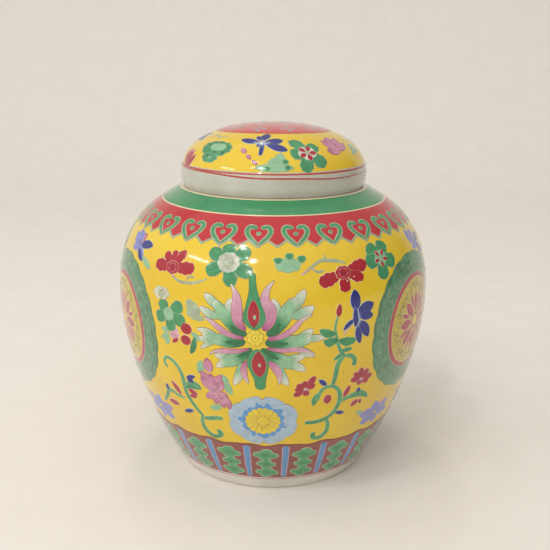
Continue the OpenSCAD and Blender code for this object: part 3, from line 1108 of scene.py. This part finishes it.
class JAR_OT_side_flowers(PanelStep, bpy.types.Operator):
    """Flowers between the lotus and the medallions"""

    bl_idname = "jar.side_flowers"
    bl_label = "Side flowers"
    group = "side"

    def paint(self, brush):
        self.left(brush)
        self.right(brush)

    def left(self, brush):
        brush.disc("cream_soft", (-40.2, 125.4), (6.4, 3.8), lobes=6, notch=0.18, level=0.01)
        for k in range(3):
            brush.ring("grey_line", (-40.4 + 0.6 * k, 125.4 - 0.3 * k), 0.7 + k, 1.1 + k, level=0.05)
        middle = (-36.5, 114.8)
        brush.bloom("leaf_petal", middle, ((-40.4, 121.8), (-30.9, 121.8), (-42.2, 111.4), (-29.6, 111.6),
                                           (-35.2, 105.4)), 7.8, 0.01, wave=0.06)
        brush.disc("leaf_pale", middle, (4.0, 4.0), lobes=7, notch=0.1, level=0.07)
        brush.petal("leaf_grey", (-29.0, 124.8), (-24.2, 115.6), 7.2, blunt=0.5, wave=0.12)
        brush.petal("leaf_grey", (-29.2, 118), (-22.4, 115.2), 4.6, level=0.02, wave=0.1)
        brush.disc("red", (-29.2, 108.6), (3.9, 3.5), level=0.05)
        brush.disc("red", (-29.6, 102.0), (3.6, 3.2), level=0.05)
        brush.petal("red", (-32.6, 101.8), (-35.6, 98.8), 3.0, level=0.04)
        brush.disc("pink_petal", (-34.2, 104.2), (3.6, 4.6), lobes=5, notch=0.12, level=0.02)
        for k in range(4):
            start = (-34.6 + 0.7 * k, 104.8 - 0.5 * k)
            brush.stroke("line_red", (start, (start[0] - 1.6, start[1] - 1.4)), 0.5, level=0.08)
        brush.petals("leaf_pale", (
            ((-36.5, 103), (-40.5, 100), 3.6), ((-36.8, 101.6), (-38.6, 96.6), 3.6),
            ((-36, 105.4), (-40.2, 105.4), 3.6), ((-27.4, 107.2), (-23.8, 103), 3.6, 0.01),
        ))
        brush.petal("leaf_dark_edge", (-26.0, 105.0), (-28.2, 94.2), 4.0, level=0.03, bend=0.7)

    def right(self, brush):
        brush.petal("red", (21.6, 117.6), (22.2, 124.6), 4.0, level=0.05, fat=0.8)
        stem = ((21.6, 118), (20.6, 112), (21.4, 105), (22.6, 99), (25, 94))
        brush.stroke("vine", stem, (1.5, 1.7, 2.2, 2.4, 2.2))
        brush.petal("leaf", (21, 108.5), (15.2, 111.6), 5.0, level=0.03, bend=1.2)
        brush.petal("leaf", (21.6, 105.6), (16.6, 105.2), 5.6, level=0.04, bend=1.6, wave=0.12)
        brush.petal("leaf", (22, 104.5), (28.6, 103.6), 5.6, level=0.03, bend=-1.2, wave=0.1)
        brush.petal("leaf", (23, 98), (27.4, 98.4), 3.0, level=0.04)
        brush.petal("leaf", (23.6, 96.4), (20.6, 92.8), 2.6, level=0.04)
        brush.stroke("white_line", ((23.6, 106.6), (25.4, 110.4), (27.2, 112.6)), (1.0, 1.2, 0.8), level=0.02)
        brush.petals("blue", (
            ((28.2, 119.2), (27.8, 131.0), 6.8, 0.05, 0.0), ((28.6, 116.6), (35.4, 121.8), 7.4, 0.05, 0.8),
            ((29.4, 115.8), (35.0, 115.2), 5.8, 0.08, 0.6), ((28.0, 115.2), (23.4, 109.4), 3.2, 0.05, -0.6),
            ((29.2, 113.6), (33.2, 103.6), 6.2, 0.05, 0.8), ((27.6, 122.0), (27.8, 110.4), 4.4, 0.1, 0.8),
            ((28.8, 111.6), (30.2, 100.4), 4.6, 0.12, -0.4),
        ))
        brush.stroke("sky_line", ((28.6, 121), (29.2, 116), (29.6, 111.6)), (0.8, 1.1, 0.9), level=0.16)
        brush.disc("brown", (25, 84.4), 0.45, level=0.0)


class JAR_OT_rose(PanelStep, bpy.types.Operator):
    """Pink rose cluster beside the lotus in each panel"""

    bl_idname = "jar.rose"
    bl_label = "Rose"
    group = "rose"

    def paint(self, brush):
        brush.petals("leaf_pale", (
            ((-18, 82), (-14.2, 72), 5.4), ((-24.6, 91.5), (-25.8, 83), 5.0),
            ((-18.6, 64), (-23.6, 61.2), 4.4), ((-17.4, 84.6), (-15.4, 77.4), 4.0),
        ), bend=0.6)
        brush.petals("rose", (
            ((-21.6, 84.5), (-22.2, 93.6), 6.0, 0.09, 0.0), ((-20.6, 80.5), (-25.6, 84.6), 4.2, 0.06, 0.4),
            ((-20.8, 79.0), (-17.0, 84.2), 4.0, 0.05, -0.4), ((-22.6, 74.0), (-24.8, 82.6), 4.6, 0.03, 0.4),
            ((-20.6, 71.0), (-21.4, 84.0), 7.6, 0.06, 0.0), ((-19.4, 73.0), (-17.2, 81.0), 4.8, 0.04, -0.4),
            ((-21.4, 72.0), (-24.4, 68.0), 5.0, 0.04, 0.6), ((-20.0, 72.0), (-20.6, 64.6), 5.2, 0.07, 0.0),
            ((-19.0, 72.4), (-15.8, 68.6), 5.0, 0.05, 0.4), ((-17.4, 70.4), (-15.6, 62.0), 5.0, 0.1, 0.6),
            ((-18.4, 69.0), (-17.6, 62.6), 3.4, 0.08, -0.4),
        ), fat=0.9)
        brush.stroke("pink_line", ((-22.4, 78), (-21, 75.6), (-19, 76.6)), 0.5, level=0.13)
        brush.stroke("pink_line", ((-23, 74), (-21, 71.6), (-18.6, 72.6)), 0.5, level=0.13)


class JAR_OT_vines(PanelStep, bpy.types.Operator):
    """Scrolling vines with buds at both sides of each panel's foot"""

    bl_idname = "jar.vines"
    bl_label = "Vines"
    group = "vine"

    def paint(self, brush):
        self.right(brush)
        self.left(brush)
        self.purple(brush)

    def right(self, brush):
        brush.stroke("vine", ((24.4, 95), (22.4, 90), (22, 83), (21.4, 77)), (3.1, 3.3, 3.1, 2.6))
        hook = ((24.8, 94.4), (27.6, 93.6), (28.8, 90.4), (28.4, 87.4))
        brush.stroke("vine", hook, (2.8, 2.9, 3.2, 4.1), level=0.03)
        arch = ((16, 67.6), (16.6, 72), (18.4, 76), (21.4, 76.6), (24, 73.4), (25.2, 67.4), (24.2, 60),
                (22.4, 56.4), (19, 54), (12.4, 53.8))
        brush.stroke("vine", arch, (3.8, 2.8, 2.4, 2.6, 2.8, 3.1, 2.9, 2.8, 3.1, 2.8), level=0.04)
        brush.petal("leaf", (17, 73.6), (15, 64.8), 4.2, level=0.02, bend=-0.8)
        scroll = ((20.8, 54.8), (22.4, 50), (22.2, 45), (20.2, 41.6), (17.6, 41.4), (16.6, 43.8),
                  (17.6, 45.6))
        brush.stroke("vine", scroll, (2.3, 2.8, 3.2, 3.6, 3.2, 3.3, 3.3), level=0.02)
        branch = ((25.4, 65), (29, 67.2), (33, 68), (38.6, 63.4))
        brush.stroke("vine", branch, (2.3, 3.3, 4.9, 1.5), level=0.06)
        brush.petal("leaf", (31.4, 66.8), (34, 70.4), 2.6, level=0.08)
        for middle, tips in (
            ((11.6, 76.6), ((7.6, 72.4), (7.8, 76.6), (8.4, 79.6), (11.0, 81.8), (14.6, 84.4), (14.8, 79.4),
                            (12, 72.2))),
            ((33.0, 77.6), ((28.4, 78.6), (29.4, 82.6), (32.0, 85.2), (35.4, 83.6), (37.8, 79.0),
                            (36.4, 75.2), (32.0, 74.2))),
        ):
            brush.bloom("red_soft", middle, tips, 4.3, 0.012, level=0.03, fat=1.4, blunt=0.45)
            brush.disc("pink_petal", middle, (1.3, 1.1), level=0.14)
        brush.petals("red_soft", (
            ((20.0, 71.6), (20.4, 65.2), 5.2), ((26.6, 67.6), (28.6, 75.4), 3.8),
            ((33.8, 63.8), (30.8, 60.2), 4.2), ((34.6, 64), (35.4, 60.4), 2.8),
        ), level=0.1)
        brush.petals("blue", (
            ((19.2, 77.4), (16.0, 82.0), 3.2), ((33.0, 68.6), (32.6, 72.4), 3.2),
            ((24.2, 58.4), (28.6, 56.6), 3.2),
        ), level=0.08)

    def left(self, brush):
        stem = ((-39.6, 81.6), (-40.8, 85), (-39.4, 88.2), (-36.6, 87.2), (-33.8, 82), (-33, 75), (-32.8, 68),
                (-31, 61.6), (-27.2, 53.6))
        brush.stroke("vine", stem, (2.8, 2.3, 2.3, 2.6, 2.8, 3.1, 2.9, 2.8, 2.3))
        brush.stroke("vine", ((-33, 70), (-30, 75.6), (-27, 75), (-26, 72)), (1.8, 2.8, 2.6, 1.5), level=0.05)
        brush.petal("leaf", (-33, 71), (-26.4, 72.4), 3.4, level=0.07, bend=1.6)
        foot = ((-18.8, 54.6), (-22, 54.4), (-25, 53.2), (-27.4, 52.8))
        brush.stroke("vine", foot, (3.1, 3.3, 3.3, 2.8), level=0.03)
        scroll = ((-27.4, 54.4), (-28.6, 49.6), (-28, 44.4), (-25.4, 40.6), (-22.4, 41), (-21.2, 43.6),
                  (-22.8, 45.8))
        brush.stroke("vine", scroll, (2.4, 2.8, 3.2, 3.6, 3.2, 3.6, 3.3), level=0.02)
        branch = ((-34, 64), (-38, 64.6), (-41, 66.4), (-45, 60), (-47.6, 56))
        brush.stroke("vine", branch, (1.5, 2.4, 2.8, 2.6, 1.3), level=0.05)
        brush.petals("red_soft", (
            ((-35.6, 65.2), (-39.2, 73.6), 4.0), ((-27.8, 67.8), (-31.6, 71.2), 4.0),
            ((-28.4, 66.6), (-31.6, 66.8), 3.2), ((-38.4, 57.6), (-44, 58.2), 4.4),
        ), level=0.08)
        brush.petals("blue", (
            ((-31.6, 78), (-27.6, 80.6), 3.4), ((-31.4, 77.4), (-28.4, 76.8), 3.4),
            ((-42.8, 65.4), (-42.4, 70.0), 3.4), ((-31.4, 56.6), (-36.6, 53.6), 3.4),
        ), level=0.08)

    def purple(self, brush):
        """Pale blue-purple flowers under the medallions."""
        for middle in (47.0, -53.5):
            for k in range(6):
                turn = math.radians(60 * k + middle)
                tip = (middle + 10.2 * math.sin(turn), 49 + 8.4 * math.cos(turn))
                paint = "blue_pale" if k % 2 else "purple"
                brush.petal(paint, (middle, 49), tip, 7.4, level=0.02 + 0.014 * k, wave=0.1)
            brush.petal("leaf_pale", (middle - 8, 51), (middle - 12, 55), 3.4)
            brush.disc("button", (middle, 49), 1.4, level=0.13)


class JAR_OT_daisy(PanelStep, bpy.types.Operator):
    """Round light-blue flower at the foot of each panel"""

    bl_idname = "jar.daisy"
    bl_label = "Round flower"
    group = "daisy"

    def paint(self, brush):
        origin = brush.spot((-3.4, 55.5))
        for sign in (-1, 1):
            for k, far in enumerate((18.0, 19.8, 19.6, 18.4)):
                way = heading(math.radians(26 + 43 * k) * sign)
                level = 0.01 + 0.014 * k + 0.004 * sign
                brush.flat_petal("sky", origin, way * 4.0, way * far, 14.6, level=level,
                                 fat=1.6, blunt=0.34, wave=0.07)
        brush.flat_disc("sky_deep", origin, (0, 0), 12.2, lobes=13, notch=0.14, turn=4, level=0.08)
        for k in range(11):
            way = heading(k / 11 * TURN + 0.24 + 0.1 * math.sin(k * 2))
            brush.flat_petal("sky_deep", origin, way * 7.5, way * (13.4 + 0.9 * math.sin(k * 2.6)),
                             3.4 + 1.2 * math.sin(k * 1.7), level=0.09, blunt=0.5, fat=1.2)
        brush.flat_disc("gold_button", origin, (0, 0), 10.2, lobes=17, notch=0.12, level=0.12)
        for k in range(26):
            turn = k / 26 * TURN
            way = np.array([math.sin(turn + 0.05 * math.sin(k * 3)), math.cos(turn)])
            brush.flat_stroke("brown", origin, [way * 2.0, way * (7.4 + 1.8 * (k % 2))], 0.42, level=0.155)
        for way in spokes(7):
            brush.flat_disc("olive", origin, 1.1 * way, 0.34, level=0.155)


class JAR_OT_lid_bands(Step, bpy.types.Operator):
    """Two thin iron-red lines round the lid's rim"""

    bl_idname = "jar.lid_bands"
    bl_label = "Lid lines"

    def execute(self, context):
        brush = lid_brush("lid_line")
        run = context.scene.jar_sizes.lid_band / MM

        def sway(a):
            return 0.3 * np.cos(a + 0.5)

        def slant(a):
            return run - 2.0 - 1.7 * np.sin(a + 0.35) + 0.25 * np.sin(7 * a)

        def slant_top(a):
            return slant(a) + 0.85 + 0.3 * np.sin(a * 2 + 2)

        brush.band("line_red", lambda a: run - 0.5 + sway(a), lambda a: run + 0.6 + sway(a), columns=480)
        brush.band("line_red", slant, slant_top, columns=480, level=0.02)
        brush.finish()
        return {"FINISHED"}


class JAR_OT_lid_flowers(Step, bpy.types.Operator):
    """Flowers and leaves round the lid, front and back"""

    bl_idname = "jar.lid_flowers"
    bl_label = "Lid flowers"

    def execute(self, context):
        brush = lid_brush("lid_flower")
        for side, rise in ((0.0, 1.0), (180.0, 0.74)):
            brush.panel(0.0, side, rise=rise)
            self.leaves(brush)
            self.iris(brush)
            self.red_centre(brush)
            self.blooms(brush)
        brush.finish()
        return {"FINISHED"}

    def leaves(self, brush):
        brush.disc("leaf_petal", (-43.4, 29.2), (11.8, 6.6), lobes=11, notch=0.1, turn=-12, level=0.02)
        brush.disc("leaf_petal", (-44.0, 22.6), (6.6, 3.6), lobes=6, notch=0.14, level=0.04)
        brush.disc("leaf_pale", (-42.0, 30.4), (6.4, 3.2), lobes=7, notch=0.12, level=0.07)
        for place in ((-52, 31.4), (-46.5, 33.6), (-46.5, 23.4), (-35, 26.6), (-32.6, 30.6), (-42, 26.4)):
            brush.disc("leaf_dark", place, (1.5, 1.1), level=0.09)
        twig = ((-66, 38.5), (-58, 40), (-50, 39.5), (-42, 41))
        for places in (twig, ((-60, 40), (-57, 43)), ((-53, 39.6), (-50, 36.6))):
            brush.stroke("grey_green", places, 1.2)
        brush.disc("leaf_pale", (0.6, 18.4), (11.2, 2.6), lobes=9, notch=0.14, level=0.02)
        brush.disc("leaf_pale", (2.8, 21.6), (6.0, 3.4), lobes=6, notch=0.16, level=0.04)
        brush.disc("leaf_pale", (4.0, 25.0), (3.0, 2.6), lobes=5, notch=0.16, level=0.05)
        brush.stroke("grey_green", ((4, 25), (5, 29)), 1.2, level=0.02)
        for place in ((7.2, 22), (8.4, 18.6), (-3.6, 18)):
            brush.disc("leaf", place, (1.9, 1.7), level=0.08)

    def iris(self, brush):
        brush.petals("blue", (
            ((-9.5, 36.5), (-27.5, 38.8), 5.6, 0.05), ((-8.6, 38), (-5.4, 47), 5.6, 0.08),
            ((-9, 38), (-14.6, 43.6), 4.4, 0.03), ((-7.6, 37.2), (7.6, 38.4), 6.6, 0.05),
            ((-7, 35.6), (9.4, 29.4), 5.6, 0.08), ((-8, 35.4), (-12.6, 33), 3.4, 0.04),
        ), fat=1.25)
        brush.stroke("blue", ((-8.6, 36.5), (-8.2, 31), (-8.6, 25.6)), (2.6, 3.0, 2.0), level=0.1)
        brush.stroke("sky_line", ((-16, 37), (-9, 35.8), (-1.6, 36.8)), (0.9, 1.2, 0.8), level=0.14)
        brush.stroke("sky_line", ((-8.4, 40), (-8.4, 33)), (1.0, 0.7), level=0.15)

    def red_centre(self, brush):
        middle = (22.4, 27.6)
        tips = ((13.6, 39.0), (31.8, 33.4), (32.6, 18.8), (19.0, 15.6), (11.0, 27.0))
        brush.bloom("leaf_petal", middle, tips, 8.4, 0.01, wave=0.06)
        brush.disc("cream_soft", middle, (5.8, 5.2), lobes=5, notch=0.16, level=0.07)
        origin = brush.spot(middle)
        for k in range(5):
            way = heading(k * TURN / 5 + 0.4)
            brush.flat_petal("red", origin, way * 0.8, way * 5.4, 3.6, level=0.11, fat=1.3)

    def blooms(self, brush):
        for tip, bend in (
            ((-75.5, 24.0), 0.8), ((-70.4, 26.4), 0.3), ((-65.0, 26.0), -0.3), ((-58.6, 23.0), -0.9),
        ):
            brush.petal("red_soft", (-66.4, 15.2), tip, 4.8, bend=bend, level=0.05, fat=0.9)
        brush.petals("rose", (
            ((-22.6, 31), (-18, 27.4), 3.0), ((-17.4, 26.6), (-14, 23.4), 2.6),
            ((-13, 22.8), (-9.6, 20), 2.4),
        ), level=0.04)
        brush.petals("rose", (
            ((47, 26), (41, 37.5), 6.0, 0.03), ((48, 26), (49.6, 40), 7.4, 0.05),
            ((49.4, 26.6), (58.6, 38), 6.6, 0.04), ((47.6, 25.6), (38.6, 28.6), 5.0, 0.06),
            ((50, 27), (62, 32), 5.0, 0.07), ((46, 24.6), (53, 33), 4.8, 0.09),
        ), fat=1.2)
        for tip in ((62, 23), (66, 30), (73, 30.6), (76, 24)):
            brush.petal("leaf_pale", (69, 26), tip, 3.6, level=0.03)
        brush.disc("sky", (69, 26), (1.8, 1.6), level=0.06)
        for tip, level in (((-87, 40), 0.04), ((-76, 41), 0.05), ((-73, 33), 0.06), ((-88, 32), 0.07)):
            brush.petal("blue", (-81, 36), tip, 5.0, level=level)


class JAR_OT_crown(Step, bpy.types.Operator):
    """Red crown on top of the lid, with grey-blue blossoms about a rosette"""

    bl_idname = "jar.crown"
    bl_label = "Crown"

    def execute(self, context):
        brush = Brush("crown", ground_of("lid", Crown), "lid", by_run=True)
        size = context.scene.jar_sizes.crown / MM
        middle = (0.0, 0.0)
        back = (0.0, 4.0)
        brush.flat_ring("crown_red", middle, back, 22.6, size)
        brush.flat_ring("crown_red", middle, back, 9.6, 23.0, level=-0.02)
        brush.flat_disc("crown_red", middle, back, 10.2)
        brush.flat_ring("line_red", middle, back, size - 0.3, size + 0.3, level=0.02)
        for out in spokes(10, 0.5):
            side = np.array([out[1], -out[0]])
            bloom = back + out * 26.5
            for way, far in ((out, 6.0), (-out, 4.6), (side, 5.4), (-side, 5.4)):
                brush.flat_petal("crown_grey", middle, bloom + way * 0.9, bloom + way * far, 2.9, level=0.06)
            for sign in (-1, 1):
                leaf = back + out * 17.5 + side * sign * 1.2
                tip = leaf + side * sign * 3.2 + out * 2.6
                brush.flat_petal("crown_grey", middle, leaf, tip, 2.0, level=0.06)
        for way in spokes(8):
            brush.flat_petal("crown_grey", middle, way * 3.4 + back, way * 12.0 + back, 4.2, level=0.06)
        brush.flat_disc("button", middle, back, 2.8, lobes=8, notch=0.14, level=0.12)
        brush.finish()
        return {"FINISHED"}


class JAR_OT_stage(Step, bpy.types.Operator):
    """Pale floor and wall, soft lights and the camera"""

    bl_idname = "jar.stage"
    bl_label = "Stage"

    def execute(self, context):
        self.backdrop(context)
        self.world(context)
        for name, turn, rise, size, power in (
            ("key", -40, 52, (0.9, 0.9), 4.4),
            ("lamp_high", -33, 56, (0.13, 0.11), 1.5),
            ("lamp", -17, 40, (0.06, 0.09), 1.5),
            ("lamp_mid", -17, 27, (0.05, 0.07), 0.9),
            ("lamp_side", -29, 40, (0.04, 0.06), 0.4),
            ("strip", -61, 30, (0.46, 0.025), 1.2),
            ("lamp_back", -165, 66, (0.07, 0.05), 1.2),
        ):
            data = bpy.data.lights.new(name, "AREA")
            data.shape = "RECTANGLE"
            data.size, data.size_y = size
            data.energy = power
            data.color = (1.0, 0.985, 0.96)
            lamp = bpy.data.objects.new(name, data)
            turn, rise = math.radians(turn), math.radians(rise)
            way = Vector((math.sin(turn) * math.cos(rise), -math.cos(turn) * math.cos(rise), math.sin(rise)))
            lamp.location = Vector(LAMP_AIM) + LAMP_AWAY * way
            lamp.rotation_euler = way.to_track_quat("Z", "Y").to_euler()
            lamp.visible_glossy = name != "key"
            context.scene.collection.objects.link(lamp)
        data = bpy.data.cameras.new("camera")
        data.lens = LENS
        data.sensor_width = 36.0
        camera = bpy.data.objects.new("camera", data)
        camera.location = CAMERA_PLACE
        camera.rotation_euler = (math.radians(90 - CAMERA_DIP), 0, 0)
        camera.rotation_euler.rotate_axis("Z", math.radians(CAMERA_ROLL))
        context.scene.collection.objects.link(camera)
        context.scene.camera = camera
        context.scene.view_settings.view_transform = "Standard"
        return {"FINISHED"}

    def backdrop(self, context):
        """A floor that curves up into a wall: a level line, a quarter circle and an upright line, drawn out
        sideways."""
        turn = np.linspace(0, math.pi / 2, 25)
        depth = np.concatenate([[-1.6], 0.9 + 0.6 * np.sin(turn), [1.5]])
        height = np.concatenate([[0], 0.6 - 0.6 * np.cos(turn), [2.6]])
        rows = len(depth)
        points = [np.stack([np.full(rows, side), depth, height], 1) for side in (-2.2, 2.2)]
        i = np.arange(rows - 1)
        mesh = bpy.data.meshes.new("backdrop")
        fill(mesh, np.vstack(points), [np.stack([i, i + rows, i + rows + 1, i + 1], -1)])
        mesh.materials.append(glaze("studio", "floor", "floor_warm", 0.7, 0.0, 0.05))
        floor = bpy.data.objects.new("backdrop", mesh)
        context.scene.collection.objects.link(floor)

    def world(self, context):
        """Light from all round, brighter towards the upper left of the front: a direction's brightness rises
        smoothly with how far it points that way."""
        world = bpy.data.worlds.new("studio_light")
        world.use_nodes = True
        tree = world.node_tree
        ground = tree.nodes["Background"]
        ground.inputs["Color"].default_value = (1.0, 0.975, 0.94, 1)
        way = tree.nodes.new("ShaderNodeTexCoord")
        toward = tree.nodes.new("ShaderNodeVectorMath")
        toward.operation = "DOT_PRODUCT"
        toward.inputs[1].default_value = Vector((-0.45, -0.3, 0.84)).normalized()
        spread = tree.nodes.new("ShaderNodeMapRange")
        spread.interpolation_type = "SMOOTHSTEP"
        for key, value in (("From Min", -0.5), ("From Max", 1.0), ("To Min", 0.2), ("To Max", 0.92)):
            spread.inputs[key].default_value = value
        tree.links.new(way.outputs["Generated"], toward.inputs[0])
        tree.links.new(toward.outputs["Value"], spread.inputs["Value"])
        tree.links.new(spread.outputs[0], ground.inputs["Strength"])
        context.scene.world = world


STEPS = (
    JAR_OT_porcelain,
    JAR_OT_shoulder,
    JAR_OT_foot_band,
    JAR_OT_medallions,
    JAR_OT_lotus,
    JAR_OT_upper_flowers,
    JAR_OT_side_flowers,
    JAR_OT_rose,
    JAR_OT_vines,
    JAR_OT_daisy,
    JAR_OT_lid_bands,
    JAR_OT_lid_flowers,
    JAR_OT_crown,
    JAR_OT_stage,
)


class JAR_PT_panel(bpy.types.Panel):
    """The jar's steps, sizes and colours"""

    bl_idname = "JAR_PT_panel"
    bl_label = "Ginger Jar"
    bl_space_type = "VIEW_3D"
    bl_region_type = "UI"
    bl_category = "Ginger Jar"

    def draw(self, context):
        for step in STEPS:
            self.layout.operator(step.bl_idname)
        for group in (context.scene.jar_sizes, context.scene.jar_colours):
            column = self.layout.column(align=True)
            for name in type(group).__annotations__:
                column.prop(group, name)


CLASSES = (JarColours, JarSizes, *STEPS, JAR_PT_panel)


def register():
    for cls in CLASSES:
        bpy.utils.register_class(cls)
    bpy.types.Scene.jar_colours = bpy.props.PointerProperty(type=JarColours)
    bpy.types.Scene.jar_sizes = bpy.props.PointerProperty(type=JarSizes)


def unregister():
    del bpy.types.Scene.jar_sizes
    del bpy.types.Scene.jar_colours
    for cls in reversed(CLASSES):
        bpy.utils.unregister_class(cls)


def main():
    register()
    for step in STEPS:
        group, name = step.bl_idname.split(".")
        getattr(getattr(bpy.ops, group), name)()


if __name__ == "__main__":
    main()
